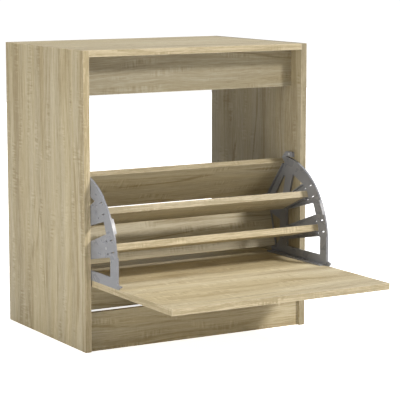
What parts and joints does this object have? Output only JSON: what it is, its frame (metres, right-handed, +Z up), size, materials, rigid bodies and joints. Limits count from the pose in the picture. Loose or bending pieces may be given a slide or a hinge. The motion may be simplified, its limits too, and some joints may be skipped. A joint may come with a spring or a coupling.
{
  "type": "shoe cabinet",
  "caption": "Knock-down shoe cabinet in wood-grain laminate, with a handle-less front that tilts out on fan-shaped side brackets and carries slanted shoe pockets.",
  "frame": {"origin": "on the floor, in the middle of the space that the cabinet takes up with its compartment open", "axes": "+X to the cabinet's right as seen from the front, +Y from the front to the back, +Z up"},
  "size_m": [0.6, 0.7894, 0.69],
  "materials": {
    "oak_laminate": "matt sonoma-oak pattern laminate on chipboard, edges banded",
    "grey_plastic": "fine-textured injection-moulded plastic",
    "zinc_steel": "zinc plated",
    "beech": "plain turned beech",
    "nylon": "plain"
  },
  "bodies": {
    "carcass": {"side_panel_left": "oak_laminate", "side_panel_right": "oak_laminate", "top_panel": "oak_laminate", "front_top_rail": "oak_laminate", "plinth": "oak_laminate", "rear_bottom_rail": "oak_laminate", "cam_bolts": "zinc_steel", "cam_locks": "zinc_steel", "wood_dowels": "beech", "pivot_pin_left": "zinc_steel", "pivot_pin_right": "zinc_steel", "stop_block_left": "grey_plastic", "stop_block_right": "grey_plastic", "stop_block_screws": "zinc_steel"},
    "compartment": {"flip_front": "oak_laminate", "bracket_left": "grey_plastic", "bracket_right": "grey_plastic", "hub_bush_left": "nylon", "hub_bush_right": "nylon", "rear_board_upper": "oak_laminate", "divider_upper": "oak_laminate", "divider_lower": "oak_laminate", "rear_board_lower": "oak_laminate", "front_screws_left": "zinc_steel", "front_screws_right": "zinc_steel", "board_screws_left": "zinc_steel", "board_screws_right": "zinc_steel"}
  },
  "joints": [
    {"name": "flip_pivot", "type": "hinge", "parent": "carcass", "child": "compartment", "pos_m": [0, 0.04275, 0.221], "axis": [-1, 0, 0], "range_deg": [0, 90]}
  ]
}
